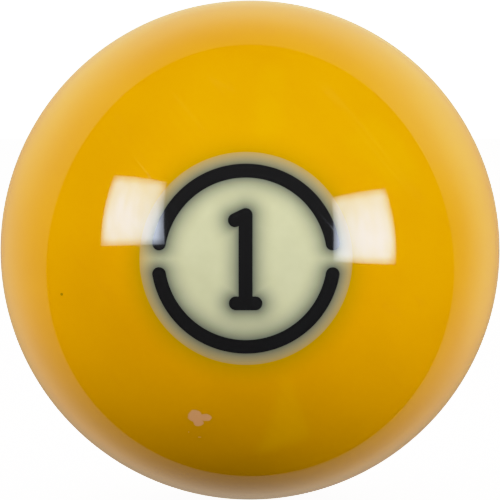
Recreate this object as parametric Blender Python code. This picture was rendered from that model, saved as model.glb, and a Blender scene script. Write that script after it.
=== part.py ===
"""Numbered pool ball, cast in phenolic resin.

The yellow body has a round blind pocket on two opposite sides. A cream plug fills each pocket, and
black resin fills the grooves that a round cutter leaves in the plug: a numeral 1 and a ring of two
arcs. The ball is then ground, so that every piece ends flush on one sphere.

The origin is the ball's centre. The front number faces -Y with its top towards +Z. The back number
is the front one turned half round the X axis, so that one of the two is always the other way up.
"""

import math

import bmesh
import bpy

# Driving sizes, in metres
BALL_DIAMETER = 0.05715  # the standard 2 1/4 inch pool ball
PLUG_DIAMETER = 0.0230
PLUG_FLOOR = 0.0017  # cream left under the black grooves
RING_MARGIN = 0.00125  # cream left between the ring and the plug's edge
RING_BRIDGE = 0.0018  # cream left between the tips of the two arcs
STROKE_WIDTH = 0.0015  # black line: the width of the cutter
INLAY_DEPTH = 0.0020  # black line's depth at the ring's outer edge, where it is shallowest
NUMERAL_HEIGHT = 0.0110
NUMERAL_BASE = 0.0036  # overall width of the foot
FLAG_REACH = 0.00115  # the flag's tip lies this far to the left of the stem
FLAG_DROP = 0.00055  # and this far below the stem's top
GAP = 0.0003  # round and under every piece that is set in another

# How finely round shapes are cut into facets
BALL_SEGMENTS = 72
BALL_RINGS = 36
TIP_STEPS = 8  # facets in the half-round end of a stroke
ARC_STEPS = 28  # facets along one ring arc
OVERCUT = 0.002  # blanks and cutters stand this far out of the ball before it is ground

# What follows from them
BALL_RADIUS = BALL_DIAMETER / 2
PLUG_RADIUS = PLUG_DIAMETER / 2
TOOL_RADIUS = STROKE_WIDTH / 2
RING_RADIUS = PLUG_RADIUS - RING_MARGIN - TOOL_RADIUS  # of the ring's centreline
RING_EDGE = RING_RADIUS + TOOL_RADIUS
INLAY_FLOOR = math.sqrt(BALL_RADIUS**2 - RING_EDGE**2) - INLAY_DEPTH  # from the ball's centre
PLUG_BACK = INLAY_FLOOR - GAP - PLUG_FLOOR  # from the ball's centre
TIP_ANGLE = (RING_BRIDGE + STROKE_WIDTH) / (2 * RING_RADIUS)  # from the X axis to an arc's end

YELLOW = "E7A700"
CREAM = "D6D5A8"
BLACK = "1B1B1E"
ROUGHNESS = 0.05  # polished
SHARP_EDGE = 30  # degrees between two facets past which the edge is shaded sharp


def linear(hex_colour):
    """sRGB hex turned to linear red, green, blue and alpha."""
    channels = [int(hex_colour[i : i + 2], 16) / 255 for i in (0, 2, 4)]
    return [c / 12.92 if c < 0.04045 else ((c + 0.055) / 1.055) ** 2.4 for c in channels] + [1]


def resin(name, hex_colour):
    """Polished cast resin."""
    material = bpy.data.materials.new(name)
    material.use_nodes = True
    shader = material.node_tree.nodes["Principled BSDF"]
    shader.inputs["Base Color"].default_value = linear(hex_colour)
    shader.inputs["Roughness"].default_value = ROUGHNESS
    shader.inputs["Metallic"].default_value = 0
    material.diffuse_color = linear(hex_colour)
    return material


def add_object(name, bm, material=None, face=None):
    """The bmesh as an object on the given face of the ball. With no material it is a cutter."""
    mesh = bpy.data.meshes.new(name)
    bm.to_mesh(mesh)
    bm.free()
    mesh.shade_smooth()
    mesh.set_sharp_from_angle(angle=math.radians(SHARP_EDGE))
    obj = bpy.data.objects.new(name, mesh)
    obj.parent = face
    bpy.context.scene.collection.objects.link(obj)
    if material:
        mesh.materials.append(material)
    else:
        obj.hide_render = True
        obj.display_type = "WIRE"
    return obj


def boolean(obj, other, operation):
    modifier = obj.modifiers.new(f"{operation.lower()}_{other.name}", "BOOLEAN")
    modifier.operation = operation
    modifier.solver = "EXACT"
    modifier.object = other


def sphere():
    """The ground ball, with its poles at the two numbers."""
    bm = bmesh.new()
    bmesh.ops.create_uvsphere(
        bm, u_segments=BALL_SEGMENTS, v_segments=BALL_RINGS, radius=BALL_RADIUS
    )
    turn_to_front(bm)
    return bm


def turn_to_front(bm):
    """Turns a shape drawn in the XY plane to the front of the ball: X stays, Y becomes Z, Z -Y."""
    for vertex in bm.verts:
        x, y, z = vertex.co
        vertex.co = (x, -z, y)


def prism(outline, floor):
    """A blank with this outline, from its floor to beyond the ball's surface."""
    bm = bmesh.new()
    bottom = bm.faces.new([bm.verts.new((u, v, floor)) for u, v in outline])
    top = bmesh.ops.extrude_face_region(bm, geom=[bottom])
    raised = [item for item in top["geom"] if isinstance(item, bmesh.types.BMVert)]
    bmesh.ops.translate(bm, verts=raised, vec=(0, 0, BALL_RADIUS + OVERCUT - floor))
    bmesh.ops.recalc_face_normals(bm, faces=bm.faces)
    turn_to_front(bm)
    return bm


def circle(radius):
    turns = (2 * math.pi * i / BALL_SEGMENTS for i in range(BALL_SEGMENTS))
    return [(radius * math.cos(turn), radius * math.sin(turn)) for turn in turns]


def straight(start, end):
    """A straight centreline's two ends, each with the direction of travel."""
    heading = math.atan2(end[1] - start[1], end[0] - start[0])
    return [(start, heading), (end, heading)]


def arc(first, last):
    """Points along the ring's centreline, anticlockwise, each with the direction of travel."""
    angles = [first + (last - first) * i / ARC_STEPS for i in range(ARC_STEPS + 1)]
    return [
        ((RING_RADIUS * math.cos(a), RING_RADIUS * math.sin(a)), a + math.pi / 2) for a in angles
    ]


def offset(point, radius, angle):
    return (point[0] + radius * math.cos(angle), point[1] + radius * math.sin(angle))


def tip(point, radius, first):
    """The half circle that joins a stroke's two sides, without its ends."""
    steps = range(1, TIP_STEPS)
    return [offset(point, radius, first + math.pi * i / TIP_STEPS) for i in steps]


def stroke(path, radius):
    """The outline that a round cutter leaves along a centreline: two sides and two round tips."""
    quarter = math.pi / 2
    right = [offset(point, radius, heading - quarter) for point, heading in path]
    left = [offset(point, radius, heading + quarter) for point, heading in reversed(path)]
    (start, start_heading), (end, end_heading) = path[0], path[-1]
    far_tip = tip(end, radius, end_heading - quarter)
    near_tip = tip(start, radius, start_heading + quarter)
    return right + far_tip + left + near_tip


def numeral_strokes():
    """Centrelines of the stem, the foot and the flag."""
    top = NUMERAL_HEIGHT / 2 - TOOL_RADIUS
    foot = NUMERAL_BASE / 2 - TOOL_RADIUS
    return {
        "stem": straight((0, -top), (0, top)),
        "foot": straight((-foot, -top), (foot, -top)),
        "flag": straight((-FLAG_REACH, top - FLAG_DROP), (0, top)),
    }


def ring_strokes():
    """Centrelines of the ring's two arcs."""
    return {
        "upper": arc(TIP_ANGLE, math.pi - TIP_ANGLE),
        "lower": arc(math.pi + TIP_ANGLE, 2 * math.pi - TIP_ANGLE),
    }


def add_face(side, turn):
    """An empty at the ball's centre. Its pieces are drawn at the front and it turns them."""
    face = bpy.data.objects.new(f"{side}_face", None)
    face.rotation_euler = (turn, 0, 0)
    bpy.context.scene.collection.objects.link(face)
    return face


def add_numeral(side, face, ground, material):
    """The three strokes of the figure 1, joined and ground flush."""
    numeral = None
    for part, path in numeral_strokes().items():
        blank = prism(stroke(path, TOOL_RADIUS), INLAY_FLOOR)
        if numeral is None:
            numeral = add_object(f"numeral_{side}", blank, material, face)
        else:
            boolean(numeral, add_object(f"{part}_blank_{side}", blank, face=face), "UNION")
    boolean(numeral, ground, "INTERSECT")


def add_ring(side, face, ground, material):
    for half, path in ring_strokes().items():
        blank = prism(stroke(path, TOOL_RADIUS), INLAY_FLOOR)
        inlay = add_object(f"ring_arc_{half}_{side}", blank, material, face)
        boolean(inlay, ground, "INTERSECT")


def add_plug(side, face, ground, material):
    """The cream plug, ground flush, with a groove for each black stroke."""
    blank = prism(circle(PLUG_RADIUS), PLUG_BACK)
    plug = add_object(f"number_plug_{side}", blank, material, face)
    boolean(plug, ground, "INTERSECT")
    for part, path in (numeral_strokes() | ring_strokes()).items():
        groove = prism(stroke(path, TOOL_RADIUS + GAP), INLAY_FLOOR - GAP)
        boolean(plug, add_object(f"{part}_groove_{side}", groove, face=face), "DIFFERENCE")


def main():
    for obj in list(bpy.data.objects):
        bpy.data.objects.remove(obj)
    bpy.context.scene.unit_settings.scale_length = 1
    yellow = resin("yellow_phenolic", YELLOW)
    cream = resin("cream_resin", CREAM)
    black = resin("black_resin", BLACK)

    ground = add_object("ground_sphere", sphere())
    body = add_object("ball_body", sphere(), yellow)
    for side, turn in (("front", 0), ("back", math.pi)):
        face = add_face(side, turn)
        pocket = prism(circle(PLUG_RADIUS + GAP), PLUG_BACK - GAP)
        boolean(body, add_object(f"pocket_{side}", pocket, face=face), "DIFFERENCE")
        add_plug(side, face, ground, cream)
        add_numeral(side, face, ground, black)
        add_ring(side, face, ground, black)


main()
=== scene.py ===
import math

import bpy
import numpy as np
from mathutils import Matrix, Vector
from mathutils.geometry import delaunay_2d_cdt


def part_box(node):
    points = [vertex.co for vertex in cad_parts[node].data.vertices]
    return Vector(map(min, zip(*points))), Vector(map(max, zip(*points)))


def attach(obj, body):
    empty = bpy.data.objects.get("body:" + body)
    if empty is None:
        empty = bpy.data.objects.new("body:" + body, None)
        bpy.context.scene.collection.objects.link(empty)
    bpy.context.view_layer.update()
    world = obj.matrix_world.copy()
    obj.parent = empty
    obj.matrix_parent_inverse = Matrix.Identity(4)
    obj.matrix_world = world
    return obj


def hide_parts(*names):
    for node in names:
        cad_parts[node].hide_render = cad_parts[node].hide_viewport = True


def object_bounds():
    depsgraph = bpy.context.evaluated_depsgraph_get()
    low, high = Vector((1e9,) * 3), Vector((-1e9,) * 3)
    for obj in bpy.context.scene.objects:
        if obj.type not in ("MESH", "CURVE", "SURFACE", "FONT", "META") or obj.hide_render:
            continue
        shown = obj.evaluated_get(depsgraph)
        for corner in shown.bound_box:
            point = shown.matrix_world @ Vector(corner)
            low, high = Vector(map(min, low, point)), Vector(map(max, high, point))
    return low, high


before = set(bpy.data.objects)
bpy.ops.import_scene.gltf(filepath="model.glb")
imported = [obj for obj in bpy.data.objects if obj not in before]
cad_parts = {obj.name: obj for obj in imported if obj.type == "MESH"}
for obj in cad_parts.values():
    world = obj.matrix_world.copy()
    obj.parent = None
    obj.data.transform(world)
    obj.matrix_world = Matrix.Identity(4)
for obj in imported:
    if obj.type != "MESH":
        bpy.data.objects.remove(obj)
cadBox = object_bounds()
mm = 0.001  # metres
print("frame loaded")


def linearColour(hexColour):
    # sRGB hex to linear: the dark end is a straight line, the rest a power of 2.4
    channels = [int(hexColour[i:i + 2], 16) / 255 for i in (1, 3, 5)]
    linear = [c / 12.92 if c <= 0.04045 else ((c + 0.055) / 1.055) ** 2.4 for c in channels]
    return (*linear, 1.0)


def addNode(tree, kind, settings=None, links=None):
    # settings are the node's own properties; links give a socket a number or another node's output
    node = tree.nodes.new(kind)
    for name, value in (settings or {}).items():
        setattr(node, name, value)
    for socket, value in (links or {}).items():
        if isinstance(value, bpy.types.NodeSocket):
            tree.links.new(value, node.inputs[socket])
        else:
            node.inputs[socket].default_value = value
    return node


def calculate(tree, operation, first, second=0.0):
    return addNode(tree, "ShaderNodeMath", {"operation": operation}, {
        0: first, 1: second}).outputs[0]


def ramp(tree, value, start, end, low, high):
    # an S curve from low at start to high at end, and flat outside
    return addNode(tree, "ShaderNodeMapRange", {"interpolation_type": "SMOOTHSTEP"},
                   {0: value, 1: start, 2: end, 3: low, 4: high}).outputs[0]


def blend(tree, share, first, second):
    # the first colour where share is 0, the second where it is 1
    return addNode(tree, "ShaderNodeMix", {"data_type": "RGBA"}, {
        0: share, 6: first, 7: second}).outputs[2]


def newMaterial(name):
    material = bpy.data.materials.new(name)
    material.use_nodes = True
    material.node_tree.nodes.clear()
    return material, material.node_tree


def direction(azimuth, elevation):
    # unit vector: azimuth 0 is the front (-Y), positive towards +X; elevation above the horizon
    a, e = math.radians(azimuth), math.radians(elevation)
    return np.array([math.sin(a) * math.cos(e), -math.cos(a) * math.cos(e), math.sin(e)])


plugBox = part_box("number_plug_front")
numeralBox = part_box("numeral_front")
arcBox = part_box("ring_arc_upper_front")

ball = {
    "radius": (cadBox[1].x - cadBox[0].x) / 2,
    "turns": 256,  # columns round the ball, and points round a plug's rim
    "rows": 160,  # rows from one plug's rim to the other's
    "sharpAngle": 30,  # degrees between faces past which an edge is shaded sharp
}

face = {
    "plugRadius": plugBox[1].x,
    "plugBack": -plugBox[1].y,  # from the ball's centre
    "inlayFloor": -numeralBox[1].y,  # from the ball's centre
    "strokeWidth": 1.5 * mm,
    "flagDrop": 0.55 * mm,  # from the stem's top down to the flag's tip
    "cell": 0.30 * mm,  # spacing of the surface net
    "clearance": 0.45,  # share of a cell that is kept free of points beside a stroke's edge
    "tipSteps": 14,  # facets in the half-round end of a stroke
    "weld": 1e-5,  # mm within which two points of the net are one
    "rimTolerance": 1e-4,  # mm within which a point counts as on the rim
}
strokeRadius = face["strokeWidth"] / 2
ringRadius = arcBox[1].z - strokeRadius
tipAngle = math.asin((arcBox[0].z + strokeRadius) / ringRadius)
stemTop = numeralBox[1].z - strokeRadius
footReach = numeralBox[1].x - strokeRadius
flagReach = -numeralBox[0].x - strokeRadius


# A stroke is what a round cutter leaves along a centreline. Centrelines lie in the plug's plane,
# as complex numbers u + iv.

def straightLine(start, end):
    steps = max(2, round(abs(end - start) / face["cell"]) + 1)
    return start + (end - start) * np.linspace(0, 1, steps)


def ringLine(first, last):
    steps = round(ringRadius * (last - first) / face["cell"]) + 1
    return ringRadius * np.exp(1j * np.linspace(first, last, steps))


strokes = {
    "stem": ("numeral", straightLine(-1j * stemTop, 1j * stemTop)),
    "foot": ("numeral", straightLine(-footReach - 1j * stemTop, footReach - 1j * stemTop)),
    "flag": ("numeral", straightLine(-flagReach + 1j * (stemTop - face["flagDrop"]), 1j * stemTop)),
    "upper": ("ringArcUpper", ringLine(tipAngle, math.pi - tipAngle)),
    "lower": ("ringArcLower", ringLine(math.pi + tipAngle, 2 * math.pi - tipAngle)),
}
strokePiece = np.array([piece for piece, _ in strokes.values()])


def strokeOutline(line):
    # the centreline moved half a stroke to each side, square to its heading, with a half circle
    # round each end
    heading = np.gradient(line)
    heading[0], heading[-1] = line[1] - line[0], line[-1] - line[-2]
    side = -1j * strokeRadius * heading / abs(heading)
    turn = np.exp(1j * np.pi * np.arange(1, face["tipSteps"]) / face["tipSteps"])
    farTip, nearTip = line[-1] + side[-1] * turn, line[0] - side[0] * turn
    return np.concatenate([line + side, farTip, (line - side)[::-1], nearTip])


def strokeDistance(points, line):
    # distance from each point to the nearest of the centreline's short straight links
    start, link = line[:-1], np.diff(line)
    share = np.clip(((points[:, None] - start) * link.conj()).real / abs(link) ** 2, 0, 1)
    return abs(points[:, None] - start - share * link).min(axis=1)


def strokeDistances(points):
    # one row for each stroke: distance to its edge, negative inside the black
    return np.array([strokeDistance(points, line) for _, line in strokes.values()]) - strokeRadius


def discPoints():
    # rings of points a cell apart, each ring turned by the golden angle so that no lines show
    cell = face["cell"]
    rings = np.arange(cell, face["plugRadius"] - cell / 2, cell)
    counts = np.round(2 * np.pi * rings / cell).astype(int)
    place = np.arange(counts.sum()) - np.repeat(np.cumsum(counts) - counts, counts)
    golden = math.pi * (3 - math.sqrt(5))
    ringTurn = golden * np.repeat(np.arange(len(rings)), counts)
    angles = 2 * np.pi * place / np.repeat(counts, counts) + ringTurn
    points = np.repeat(rings, counts) * np.exp(1j * angles)
    clear = abs(strokeDistances(points).min(axis=0)) > face["clearance"] * cell
    return points[clear]


def discNet():
    # a plug's disc cut into triangles, with an edge along its rim and along every stroke's outline
    rim = face["plugRadius"] * np.exp(2j * np.pi * np.arange(ball["turns"]) / ball["turns"])
    loops = [rim] + [strokeOutline(line) for _, line in strokes.values()]
    points = np.concatenate(loops + [discPoints()])
    starts = np.cumsum([0] + [len(loop) for loop in loops])
    edges = [start + np.stack([np.arange(len(loop)), np.roll(np.arange(len(loop)), -1)], 1)
             for start, loop in zip(starts, loops)]
    plane = [Vector(point) for point in (np.stack([points.real, points.imag], 1) / mm).tolist()]
    # no faces given, output type 0 for triangles up to the hull, and True for the ids
    corners, _, cells, _, _, _ = delaunay_2d_cdt(
        plane, np.concatenate(edges).tolist(), [], 0, face["weld"], True)
    corners = np.array([tuple(corner) for corner in corners]) * mm
    return corners[:, 0] + 1j * corners[:, 1], np.array(cells)


netPoints, netCells = discNet()
cellDistances = strokeDistances(netPoints[netCells].mean(axis=1))
nearestPiece = strokePiece[cellDistances.argmin(axis=0)]
cellPiece = np.where(cellDistances.min(axis=0) < 0, nearestPiece, "numberPlug")
print("plug net:", len(netPoints), "points,", len(netCells), "cells")


def buildPiece(name, points, triangles, domeFaces, distances):
    # Faces on the ball's surface get the sphere's own normal, so that a reflection runs unbroken
    # over every joint. The distances are attributes in mm that the materials read.
    used, compact = np.unique(triangles, return_inverse=True)
    points, triangles = points[used], compact.reshape(-1, 3)
    mesh = bpy.data.meshes.new(name)
    mesh.from_pydata(points.tolist(), [], triangles.tolist())
    mesh.shade_smooth()
    mesh.set_sharp_from_angle(angle=math.radians(ball["sharpAngle"]))
    normals = np.where(domeFaces[:, None, None], points[triangles] / ball["radius"], 0.0)
    mesh.normals_split_custom_set(normals.reshape(-1, 3).tolist())
    for key, values in distances.items():
        attribute = mesh.attributes.new(key, "FLOAT", "POINT")
        attribute.data.foreach_set("value", (values[used] / mm).astype(np.float32))
    piece = bpy.data.objects.new(name, mesh)
    bpy.context.scene.collection.objects.link(piece)
    return piece


def wallsDown(cells, inlayStep, rimStep):
    # Two triangles under each border edge of these cells, down to a lower copy of the net: along
    # the plug's rim to the copy rimStep further on, along a stroke to the copy inlayStep further on.
    edges = np.concatenate([cells[:, [0, 1]], cells[:, [1, 2]], cells[:, [2, 0]]])
    forward, backward = edges @ [len(netPoints), 1], edges @ [1, len(netPoints)]
    a, b = edges[~np.isin(backward, forward)].T
    offRim = face["plugRadius"] - np.minimum(abs(netPoints[a]), abs(netPoints[b]))
    step = np.where(offRim < face["rimTolerance"] * mm, rimStep, inlayStep)
    return np.concatenate([np.stack([a, a + step, b + step], 1), np.stack([a, b + step, b], 1)])


def netLevels():
    # The net three times over: lifted onto the ball, where the depth squared is the radius squared
    # less the distance from the axis squared, then flat at the grooves' floor and at the plug's back
    dome = np.sqrt(ball["radius"] ** 2 - abs(netPoints) ** 2)
    u, v = netPoints.real, netPoints.imag
    levels = [np.stack([u, np.broadcast_to(-depth, u.shape), v], 1)
              for depth in (dome, face["inlayFloor"], face["plugBack"])]
    return np.concatenate(levels)


def netPiece(part, side, turn):
    # a plug is its own cells on top, the grooves' floors, its back and walls; an inlay has one floor
    size = len(netPoints)
    own, other = netCells[cellPiece == part], netCells[cellPiece != part]
    if part == "numberPlug":
        below = [other + size, netCells[:, ::-1] + 2 * size]
    else:
        below = [own[:, ::-1] + size]
    triangles = np.concatenate([own, *below, wallsDown(own, size, 2 * size)])
    dome = np.arange(len(triangles)) < len(own)
    away = np.maximum(strokeDistances(netPoints), 0)
    distances = {
        "toNumeral": away[strokePiece == "numeral"].min(axis=0),
        "toRing": away[strokePiece != "numeral"].min(axis=0),
        "toRim": face["plugRadius"] - abs(netPoints),
    }
    levelled = {key: np.tile(values, 3) for key, values in distances.items()}
    return buildPiece(f"{part}{side}", netLevels() * turn, triangles, dome, levelled)


def ballBody():
    # A profile of radius and depth turned round the Y axis: pocket floor, wall, the ball's arc, wall,
    # floor. On the arc the radius is the ball's times the sine of the polar angle, and the depth is
    # the ball's radius times its cosine.
    radius, rim, back, turns = ball["radius"], face["plugRadius"], face["plugBack"], ball["turns"]
    rimPolar = math.asin(rim / radius)
    polar = np.linspace(rimPolar, math.pi - rimPolar, ball["rows"] + 1)
    radii = np.concatenate([[0, rim], radius * np.sin(polar), [rim, 0]])
    depths = np.concatenate([[back, back], radius * np.cos(polar), [-back, -back]])
    circles = radii[:, None] * np.exp(2j * np.pi * np.arange(turns) / turns)
    along = np.broadcast_to(-depths[:, None], circles.shape)
    points = np.stack([circles.real, along, circles.imag], -1)

    # each row of the grid joins the next; the first and the last row are one point each, which
    # leaves triangles with a doubled corner to drop
    index = np.arange(circles.size).reshape(circles.shape)
    index[0], index[-1] = index[0, 0], index[-1, 0]
    beside = np.roll(index, -1, axis=1)
    a, b, c, d = index[:-1], index[1:], beside[1:], beside[:-1]
    triangles = np.stack([np.stack([a, b, c], -1), np.stack([a, c, d], -1)]).reshape(-1, 3)
    row = np.tile(np.repeat(np.arange(len(radii) - 1), turns), 2)
    dome = (row >= 2) & (row < len(radii) - 3)
    whole = (triangles != np.roll(triangles, 1, axis=1)).all(axis=1)

    # distance over the surface from the nearer plug's rim
    toRim = radius * (np.arcsin(np.clip(radii / radius, 0, 1)) - rimPolar)
    distances = {"toRim": np.repeat(toRim, turns)}
    return buildPiece("ballBody", points.reshape(-1, 3), triangles[whole], dome[whole], distances)


def fade(tree, key, reach, share, power):
    # share x (1 - distance / reach) to a power: full at the edge, nothing at reach
    distance = addNode(tree, "ShaderNodeAttribute", {"attribute_name": key}).outputs["Fac"]
    near = addNode(tree, "ShaderNodeMapRange", None, {
        0: distance, 1: 0.0, 2: reach, 3: 1.0, 4: 0.0}).outputs[0]
    return calculate(tree, "MULTIPLY", calculate(tree, "POWER", near, power), share)


def clouds(tree, size, detail=2.0, low=0.35, high=0.65):
    # soft noise on the object's own coordinates; size is the width of a cloud in mm
    place = addNode(tree, "ShaderNodeTexCoord").outputs["Object"]
    noise = addNode(tree, "ShaderNodeTexNoise", None, {
        "Vector": place, "Scale": 1 / (size * mm), "Detail": detail}).outputs[0]
    return addNode(tree, "ShaderNodeMapRange", None, {0: noise, 1: low, 2: high}).outputs[0]


wear = {
    # azimuth and elevation on the ball in degrees, then half width and half height in mm
    "scuffs": [(-14.4, -37.4, 0.80, 0.66), (-11.6, -37.8, 0.72, 0.42), (-13.8, -39.3, 0.55, 0.46),
               (-17.6, -42.4, 0.08, 0.045), (-14.7, -44.0, 0.22, 0.04)],
    "scuffColour": "#F5B16F",
    "scuffRoughness": 0.5,
    "specks": [(-46.0, -8.4, 0.15, 0.15)],
    "speckColour": "#A97A00",
    "markDepth": 5.0,  # mm, enough to take in the ball's curve and too little to reach its other side
    "markEdge": (1.25, 0.85),  # shares of a mark's size between which it fades in
    "ragged": 0.15,  # how uneven a mark's edge is, as a share of its size
    "raggedSize": 0.6,  # mm
    "hairlineTurn": 50.0,  # degrees that the hairlines slope down towards +X
    "hairlineLength": 40.0,  # mm
    "hairlineSpacing": 1.3,  # mm
    "hairlineWidth": 0.03,  # of the noise: about 0.15 mm, drawn wider than real ones so that it shows
    "hairlinePatch": 5.0,  # mm across the patches that have any
    "hairlinePatchDetail": 1.0,
    "hairlinePatchRange": (0.48, 0.60),  # values of the noise between which a patch fades in
    "hairlineRoughness": 0.10,
}


def spots(tree, places):
    # 1 inside a few small ovals with a ragged edge, 0 outside: the length of the offset from an
    # oval's middle, measured in half widths and half heights, with a fine noise added
    place = addNode(tree, "ShaderNodeTexCoord").outputs["Object"]
    ragged = calculate(tree, "MULTIPLY", clouds(tree, wear["raggedSize"]), wear["ragged"])
    inside = 0.0
    for azimuth, elevation, halfWidth, halfHeight in places:
        middle = ball["radius"] * direction(azimuth, elevation)
        perSize = [1 / (half * mm) for half in (halfWidth, wear["markDepth"], halfHeight)]
        offset = addNode(tree, "ShaderNodeVectorMath", {"operation": "SUBTRACT"}, {
            0: place, 1: middle})
        sized = addNode(tree, "ShaderNodeVectorMath", {"operation": "MULTIPLY"}, {
            0: offset.outputs[0], 1: perSize})
        length = addNode(tree, "ShaderNodeVectorMath", {"operation": "LENGTH"}, {
            0: sized.outputs[0]})
        uneven = calculate(tree, "ADD", length.outputs["Value"], ragged)
        spot = ramp(tree, uneven, *wear["markEdge"], 0.0, 1.0)
        inside = calculate(tree, "MAXIMUM", inside, spot)
    return inside


def hairlines(tree):
    # A noise drawn out flat crosses its middle value in thin sheets, and a sheet meets the surface
    # in a line
    place = addNode(tree, "ShaderNodeTexCoord").outputs["Object"]
    drawnOut = [wear[key] * mm for key in ("hairlineLength", "hairlineLength", "hairlineSpacing")]
    slope = (0, math.radians(wear["hairlineTurn"]), 0)
    turned = addNode(tree, "ShaderNodeMapping", {"vector_type": "TEXTURE"}, {
        "Vector": place, "Rotation": slope, "Scale": drawnOut}).outputs[0]
    noise = addNode(tree, "ShaderNodeTexNoise", None, {
        "Vector": turned, "Scale": 1.0, "Detail": 0.0}).outputs[0]
    fromMiddle = calculate(tree, "ABSOLUTE", calculate(tree, "SUBTRACT", noise, 0.5))
    line = ramp(tree, fromMiddle, wear["hairlineWidth"], 0.0, 0.0, 1.0)
    patches = clouds(tree, wear["hairlinePatch"], wear["hairlinePatchDetail"],
                     *wear["hairlinePatchRange"])
    return calculate(tree, "MULTIPLY", line, patches)


def polished(tree, colour, roughness, ior):
    # the pieces were ground and polished together, so all three resins share the gloss and hairlines
    scratched = calculate(tree, "MULTIPLY", hairlines(tree), wear["hairlineRoughness"])
    shader = addNode(tree, "ShaderNodeBsdfPrincipled", None, {
        "Base Color": colour, "Roughness": calculate(tree, "ADD", roughness, scratched),
        "IOR": ior, "Metallic": 0.0})
    addNode(tree, "ShaderNodeOutputMaterial", None, {"Surface": shader.outputs[0]})


yellow = {
    "colour": "#F3A900",
    "cloudColour": "#ECA400",
    "cloudSize": 14.0,  # mm
    # painted shade: a darker, greener yellow blended in towards the plug's rim
    "paintedRimShadeColour": "#C29800",
    "paintedRimShadeReach": 3.4,  # mm over which painted shade turns the yellow greener and darker towards the plug
    "paintedRimShadeShare": 0.8,
    "paintedRimShadePower": 2.0,
    "roughness": 0.035,
    "ior": 1.6,
}


def yellowPhenolic():
    # Cast phenolic resin, dyed yellow, ground and polished. It gives a deep even yellow under sharp
    # reflections, with painted shade that turns it darker and greener beside the plug, standing in for
    # light lost into the plug's cream and black ring, and one pale scuff where the polish is gone.
    material, tree = newMaterial("polishedCastPhenolicYellow")
    cloud = clouds(tree, yellow["cloudSize"])
    colour = blend(tree, cloud, linearColour(yellow["colour"]), linearColour(yellow["cloudColour"]))
    # painted shade: the yellow is blended towards a darker, greener colour near the plug
    rim = fade(tree, "toRim", yellow["paintedRimShadeReach"], yellow["paintedRimShadeShare"], yellow["paintedRimShadePower"])
    colour = blend(tree, rim, colour, linearColour(yellow["paintedRimShadeColour"]))
    colour = blend(tree, spots(tree, wear["specks"]), colour, linearColour(wear["speckColour"]))
    scuff = spots(tree, wear["scuffs"])
    colour = blend(tree, scuff, colour, linearColour(wear["scuffColour"]))
    dulled = calculate(tree, "MULTIPLY", scuff, wear["scuffRoughness"])
    polished(tree, colour, calculate(tree, "ADD", dulled, yellow["roughness"]), yellow["ior"])
    return material


cream = {
    "colour": "#DBD8A9",
    "cloudColour": "#D6D3A4",
    "cloudSize": 3.0,  # mm
    "shadowColour": "#072E38",
    "shadowReach": 2.55,  # mm over which a black line greys the cream round it
    "shadowShare": 0.74,
    "shadowPower": 1.9,
    # painted light: yellow light from the body, blended into the cream near the plug's rim
    "paintedYellowLightColour": "#D9A22A",
    "paintedYellowLightReach": 2.6,  # mm over which painted yellow light from the body tints the cream
    "paintedYellowLightShare": 0.78,
    "paintedYellowLightPower": 2.0,
    "roughness": 0.04,
    "ior": 1.6,
}


def creamResin():
    # Cast cream resin, ground and polished. Light travels some way in it, and that is painted: a soft
    # grey painted shadow on the cream round the black lines, and painted yellow light from the yellow
    # body at the plug's edge.
    material, tree = newMaterial("polishedCastResinCream")
    cloud = clouds(tree, cream["cloudSize"])
    colour = blend(tree, cloud, linearColour(cream["colour"]), linearColour(cream["cloudColour"]))
    # painted light: the cream is blended towards yellow near the plug's rim
    paintedYellowLight = fade(tree, "toRim", cream["paintedYellowLightReach"], cream["paintedYellowLightShare"], cream["paintedYellowLightPower"])
    colour = blend(tree, paintedYellowLight, colour, linearColour(cream["paintedYellowLightColour"]))
    for key in ("toNumeral", "toRing"):
        shadow = fade(tree, key, cream["shadowReach"], cream["shadowShare"], cream["shadowPower"])
        colour = blend(tree, shadow, colour, linearColour(cream["shadowColour"]))
    polished(tree, colour, cream["roughness"], cream["ior"])
    return material


black = {
    "colour": "#1D1C1B",
    "speckColour": "#232221",
    "speckSize": 0.5,  # mm
    "speckDetail": 3.0,
    "speckRange": (0.55, 0.75),  # values of the noise between which a speck fades in
    "roughness": 0.05,
    "ior": 1.75,  # mirrors the softboxes more strongly than the yellow does
}


def blackResin():
    # Cast black resin, ground and polished: near black with faint specks of filler
    material, tree = newMaterial("polishedCastResinBlack")
    specks = clouds(tree, black["speckSize"], black["speckDetail"], *black["speckRange"])
    colour = blend(tree, specks, linearColour(black["colour"]), linearColour(black["speckColour"]))
    polished(tree, colour, black["roughness"], black["ior"])
    return material


yellowMaterial, creamMaterial, blackMaterial = yellowPhenolic(), creamResin(), blackResin()
print("materials made")


def addPiece(piece, node, material):
    piece.data.materials.append(material)
    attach(piece, "root")
    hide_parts(node)


addPiece(ballBody(), "ball_body", yellowMaterial)
netParts = {
    "numberPlug": ("number_plug", "cream_resin", creamMaterial),
    "numeral": ("numeral", "black_resin", blackMaterial),
    "ringArcUpper": ("ring_arc_upper", "black_resin", blackMaterial),
    "ringArcLower": ("ring_arc_lower", "black_resin", blackMaterial),
}
sides = {"Front": (1, 1, 1), "Back": (1, -1, -1)}  # the back is the front turned half round X
for side, turn in sides.items():
    for part, (node, slotName, material) in netParts.items():
        addPiece(netPiece(part, side, turn), f"{node}_{side.lower()}", material)
print("pieces made")


def addStage(name, mesh, material):
    mesh.materials.append(material)
    obj = bpy.data.objects.new(name, mesh)
    bpy.context.scene.collection.objects.link(obj)
    return obj


def card(name, corners, material):
    # four corners with u, v running 0 to 1 over them
    mesh = bpy.data.meshes.new(name)
    mesh.from_pydata([tuple(corner) for corner in corners], [], [(0, 1, 2, 3)])
    mesh.uv_layers.new(name="UVMap").data.foreach_set("uv", [0, 0, 1, 0, 1, 1, 0, 1])
    return addStage(name, mesh, material)


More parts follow.
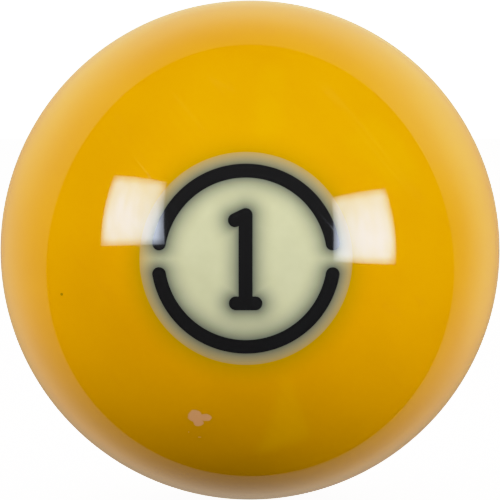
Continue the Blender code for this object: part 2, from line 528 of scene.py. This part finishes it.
def hemmed(tree, power, hem, hemShare):
    # dimmed to hem times the power along all four sides
    place = addNode(tree, "ShaderNodeTexCoord").outputs["UV"]
    for across in addNode(tree, "ShaderNodeSeparateXYZ", None, {0: place}).outputs[:2]:
        fromMiddle = calculate(tree, "ABSOLUTE", calculate(tree, "SUBTRACT", across, 0.5))
        power = calculate(tree, "MULTIPLY", power, ramp(tree, fromMiddle, 0.5, 0.5 - hemShare, hem, 1.0))
    return power


def glow(tree, colour, power):
    light = addNode(tree, "ShaderNodeEmission", None, {"Color": colour, "Strength": power})
    addNode(tree, "ShaderNodeOutputMaterial", None, {"Surface": light.outputs[0]})


softbox = {
    "distance": 0.60,  # metres from the ball
    "colour": "#E2ECFF",
    "hem": 0.40,  # share of the light left at the cloth's very edge
    "hemShare": 0.13,  # share of the width and height over which it rises to full
    "falloff": 0.36,  # share of the light lost away from the lamp behind the cloth
    "lampReach": (0.05, 0.65),  # where that loss starts and ends, as a share of the width
    "folds": (7.0, 2.5, 0.0),  # soft folds in the cloth: how many across and up
    "foldDetail": 1.0,
    "foldRange": (0.3, 0.7),  # values of the noise between which the fold's light changes
    "foldLight": (0.90, 1.08),  # the light's factor at the one and at the other
    # lampAt is a share of the width and height; corners are metres across and up, anticlockwise
    # from bottom left
    "left": {"azimuth": -55.4, "elevation": 16.9, "strength": 13.2, "lampAt": (0.42, 0.40),
             "corners": [(-0.147, -0.158), (0.204, -0.136), (0.137, 0.144), (-0.145, 0.127)]},
    "right": {"azimuth": 55.0, "elevation": 10.4, "strength": 14.2, "lampAt": (0.58, 0.37),
              "corners": [(-0.192, -0.147), (0.152, -0.161), (0.143, 0.147), (-0.154, 0.145)]},
}


def addSoftbox(name, spec):
    # a cloth in the plane that faces the ball, brightest where its lamp is
    material, tree = newMaterial("litCloth")
    place = addNode(tree, "ShaderNodeTexCoord").outputs["UV"]
    lamp = (*spec["lampAt"], 0)
    fromLamp = addNode(tree, "ShaderNodeVectorMath", {"operation": "DISTANCE"}, {
        0: place, 1: lamp})
    dimmest = spec["strength"] * (1 - softbox["falloff"])
    power = ramp(tree, fromLamp.outputs["Value"], *softbox["lampReach"], spec["strength"], dimmest)
    folds = addNode(tree, "ShaderNodeMapping", None, {
        "Vector": place, "Scale": softbox["folds"]}).outputs[0]
    noise = addNode(tree, "ShaderNodeTexNoise", None, {
        "Vector": folds, "Scale": 1.0, "Detail": softbox["foldDetail"]}).outputs[0]
    foldLight = ramp(tree, noise, *softbox["foldRange"], *softbox["foldLight"])
    power = hemmed(tree, calculate(tree, "MULTIPLY", power, foldLight),
                   softbox["hem"], softbox["hemShare"])
    glow(tree, linearColour(softbox["colour"]), power)

    towards = direction(spec["azimuth"], spec["elevation"])
    sideways = np.cross([0, 0, 1], towards)
    sideways /= np.linalg.norm(sideways)
    up = np.cross(towards, sideways)
    corners = [softbox["distance"] * towards + x * sideways + y * up for x, y in spec["corners"]]
    card(name, corners, material).visible_camera = False


goldCard = {
    "distance": 0.90,  # metres from the ball
    "colour": "#FFEC00",
    "hemShare": 0.22,
    # each has a strength, then the azimuth and elevation of its four corners in degrees
    "below": (0.62, [(18, -51), (25, -51), (125, -68), (-171, -72)]),
    "above": (0.50, [(167, 81), (131, 74), (18, 47), (1, 48)]),
    "aside": (0.60, [(50, 46), (99, 52), (100, 20), (72, 18)]),
}


def addGoldCard(name, strength, corners):
    # a gold card: only its faint reflection shows
    material, tree = newMaterial("litGoldCard")
    power = hemmed(tree, strength, 0.0, goldCard["hemShare"])
    glow(tree, linearColour(goldCard["colour"]), power)
    obj = card(name, [goldCard["distance"] * direction(*corner) for corner in corners], material)
    obj.visible_camera = obj.visible_diffuse = False


backPaper = {
    "radius": 1.5,  # metres from the ball
    "rows": 24,
    "columns": 72,
    # its edge, in degrees from straight behind: the mean, then each wave's height
    "edge": 69.45,
    "rise": 8.45,
    "widen": 5.65,
    "lean": 1.05,
    "aside": 1.1,
    "colour": "#F8DDB5",
    "colourBelow": "#DCC8AF",
    "lowFrom": (-0.10, -0.35),  # heights, as shares of the radius, where the colour changes
    "strength": 0.95,
    "edgeStrength": 0.45,
    "edgeFade": (1.05, 0.55),  # where the one turns into the other, as shares of the way out
    # heights and sideways places, as shares of the radius, where a change starts and ends, and the
    # light's factor past it
    "above": (0.05, 0.45, 1.40),
    "overhead": (0.65, 0.97, 0.58),
    "below": (-0.05, -0.30, 1.18),
    "right": (0.50, 0.72, 1.25),
    "farRight": (0.80, 0.98, 0.52),
    "core": (0.30, 0.12, 1.5),  # the same, in shares of the way out
    # the shade straight behind the ball and a little low
    "shadeHeight": -0.08,
    "shadeTall": (0.45, 0.08),  # distances above and below that where it starts and is full
    "shadeWide": (0.60, 0.15),  # and to both sides
    "shade": 0.50,  # share of the light that it takes
}


def backPaperMesh():
    # Paper curved round behind the ball. Its edge lies at an angle from straight behind that changes
    # round the clock: a constant, a sine for the high side, and three smaller waves. UV x is 0 in the
    # middle and 1 at the edge.
    share = np.linspace(0, 1, backPaper["rows"] + 1)[:, None]
    clock = 2 * np.pi * np.arange(backPaper["columns"] + 1) / backPaper["columns"]
    edge = (backPaper["edge"]
            + backPaper["rise"] * np.sin(clock) - backPaper["aside"] * np.cos(clock)
            + backPaper["widen"] * np.cos(2 * clock) + backPaper["lean"] * np.sin(3 * clock))
    away = share * np.radians(edge)
    points = backPaper["radius"] * np.stack(
        [np.sin(away) * np.cos(clock), np.cos(away), np.sin(away) * np.sin(clock)], -1)
    index = np.arange(away.size).reshape(away.shape)
    quads = np.stack([index[:-1, :-1], index[1:, :-1], index[1:, 1:], index[:-1, 1:]], -1)
    quads = quads.reshape(-1, 4)
    mesh = bpy.data.meshes.new("backPaper")
    mesh.from_pydata(points.reshape(-1, 3).tolist(), [], quads.tolist())
    flat = np.stack(np.broadcast_arrays(share, clock / (2 * np.pi)), -1).reshape(-1, 2)
    mesh.uv_layers.new(name="UVMap").data.foreach_set("uv", flat[quads.ravel()].ravel())
    return mesh


def litPaper():
    # pale paper: brighter high up, low down and to the right, dimmer overhead, far right and at its
    # edge, and in the ball's shade, which is weaker in its very core
    material, tree = newMaterial("litPaper")
    coordinates = addNode(tree, "ShaderNodeTexCoord").outputs
    perRadius = addNode(tree, "ShaderNodeVectorMath", {"operation": "SCALE"}, {
        0: coordinates["Object"], "Scale": 1 / backPaper["radius"]}).outputs[0]
    x, _, z = addNode(tree, "ShaderNodeSeparateXYZ", None, {0: perRadius}).outputs
    toEdge = addNode(tree, "ShaderNodeSeparateXYZ", None, {0: coordinates["UV"]}).outputs["X"]
    power = ramp(tree, toEdge, *backPaper["edgeFade"], backPaper["edgeStrength"], backPaper["strength"])
    axes = {"above": z, "overhead": z, "below": z, "right": x, "farRight": x, "core": toEdge}
    for key, axis in axes.items():
        start, end, factor = backPaper[key]
        power = calculate(tree, "MULTIPLY", power, ramp(tree, axis, start, end, 1.0, factor))
    fromLow = calculate(tree, "ABSOLUTE", calculate(tree, "SUBTRACT", z, backPaper["shadeHeight"]))
    tall = ramp(tree, fromLow, *backPaper["shadeTall"], 0.0, 1.0)
    sideways = calculate(tree, "ABSOLUTE", x)
    wide = ramp(tree, sideways, *backPaper["shadeWide"], 0.0, backPaper["shade"])
    lit = calculate(tree, "SUBTRACT", 1.0, calculate(tree, "MULTIPLY", tall, wide))
    power = calculate(tree, "MULTIPLY", power, lit)
    low = ramp(tree, z, *backPaper["lowFrom"], 0.0, 1.0)
    colour = blend(tree, low, linearColour(backPaper["colour"]), linearColour(backPaper["colourBelow"]))
    glow(tree, colour, power)
    return material


def addBackPaper():
    # only its reflection shows: the room stands for its light
    obj = addStage("backPaper", backPaperMesh(), litPaper())
    obj.visible_camera = obj.visible_diffuse = False


floor = {
    "colour": "#F4F3F1",
    "grainColour": "#F0EFEC",
    "grainSize": 2.0,  # mm
    "roughness": 0.9,
    "glowColour": "#FFFFFF",
    "glow": 1.6,
    "halfSize": 6.0,  # metres
}


def addFloor():
    # matt paper that glows a little, so that it runs on into the white behind it
    material, tree = newMaterial("palePaper")
    grain = blend(tree, clouds(tree, floor["grainSize"]), linearColour(floor["colour"]),
                  linearColour(floor["grainColour"]))
    shader = addNode(tree, "ShaderNodeBsdfPrincipled", None, {
        "Base Color": grain, "Roughness": floor["roughness"],
        "Emission Color": linearColour(floor["glowColour"]), "Emission Strength": floor["glow"]})
    addNode(tree, "ShaderNodeOutputMaterial", None, {"Surface": shader.outputs[0]})
    size, z = floor["halfSize"], cadBox[0].z
    corners = [(-size, -size, z), (size, -size, z), (size, size, z), (-size, size, z)]
    obj = card("floor", corners, material)
    obj.visible_glossy = obj.visible_diffuse = False


room = {
    "colour": "#FFF8EE",
    # on a sphere of radius 1: where a change starts and ends, and the light before and after it
    "height": (-0.78, 0.45, 0.05, 0.60),
    "behind": (-0.3, 0.5, 0.0, 0.14),
    "behindHeight": (-0.8, 0.0, 0.0, 1.0),  # the light behind fades out downwards
    "sides": (0.3, 0.95, 0.0, 0.20),
    "reflected": (-0.6, 0.1, 0.0, 0.17),  # what reflections see, from the front to the back
    "reflectedColour": "#FFD000",
    "seen": 3.0,  # what the camera sees
}


def addRoom():
    # A soft room that fills the shadows: brighter above, behind and at the sides. Reflections see
    # only a dim golden part of it, and the camera sees plain white.
    world = bpy.data.worlds.new("studioRoom")
    bpy.context.scene.world = world
    world.use_nodes = True
    tree = world.node_tree
    tree.nodes.clear()
    place = addNode(tree, "ShaderNodeTexCoord").outputs["Generated"]
    x, y, z = addNode(tree, "ShaderNodeSeparateXYZ", None, {0: place}).outputs
    fromBehind = calculate(tree, "MULTIPLY", ramp(tree, y, *room["behind"]),
                           ramp(tree, z, *room["behindHeight"]))
    fromSides = ramp(tree, calculate(tree, "ABSOLUTE", x), *room["sides"])
    fromAbove = ramp(tree, z, *room["height"])
    power = calculate(tree, "ADD", fromAbove, calculate(tree, "ADD", fromBehind, fromSides))
    ray = addNode(tree, "ShaderNodeLightPath").outputs
    dim = ramp(tree, y, *room["reflected"])
    power = addNode(tree, "ShaderNodeMix", None, {
        0: ray["Is Glossy Ray"], 2: power, 3: dim}).outputs[0]
    power = addNode(tree, "ShaderNodeMix", None, {
        0: ray["Is Camera Ray"], 2: power, 3: room["seen"]}).outputs[0]
    colour = blend(tree, ray["Is Glossy Ray"], linearColour(room["colour"]),
                   linearColour(room["reflectedColour"]))
    sky = addNode(tree, "ShaderNodeBackground", None, {"Color": colour, "Strength": power})
    addNode(tree, "ShaderNodeOutputWorld", None, {"Surface": sky.outputs[0]})


tone = {
    "top": 2.5,  # light that comes out white
    # light, and what it comes out as
    "shoulder": [(0.6, 0.6), (0.8, 0.755), (1.0, 0.84), (1.35, 0.92), (1.8, 0.97)],
}


def setTone():
    # straight at first, then a shoulder, so that a highlight on yellow doesn't burn out to one colour
    view = bpy.context.scene.view_settings
    view.view_transform = "Standard"
    view.use_curve_mapping = True
    mapping = view.curve_mapping
    mapping.white_level = [tone["top"]] * 3
    curve = mapping.curves[3]  # the one for all three colours together
    for light, shown in tone["shoulder"]:
        curve.points.new(light / tone["top"], shown)
    curve.points[0].handle_type = curve.points[1].handle_type = "VECTOR"
    mapping.update()


lens = {
    "length": 282.7,  # mm
    "sensor": 36,  # mm
    "nearest": 0.01,  # metres
    "distance": 0.45,  # metres
    "azimuth": 0.96,  # degrees
    "elevation": 2.02,
}


def addCamera():
    # a long lens a little above and to the right of the number's axis
    data = bpy.data.cameras.new("camera")
    data.lens = lens["length"]
    data.sensor_width = lens["sensor"]
    data.clip_start = lens["nearest"]
    obj = bpy.data.objects.new("camera", data)
    away = Vector(direction(lens["azimuth"], lens["elevation"]))
    obj.location = away * lens["distance"]
    obj.rotation_euler = away.to_track_quat("Z", "Y").to_euler()
    bpy.context.scene.collection.objects.link(obj)
    bpy.context.scene.camera = obj


for name in ("left", "right"):
    addSoftbox(f"softbox_{name}", softbox[name])
for name in ("below", "above", "aside"):
    addGoldCard(f"goldCard_{name}", *goldCard[name])
addBackPaper()
addFloor()
addRoom()
addCamera()
setTone()
print("studio made")
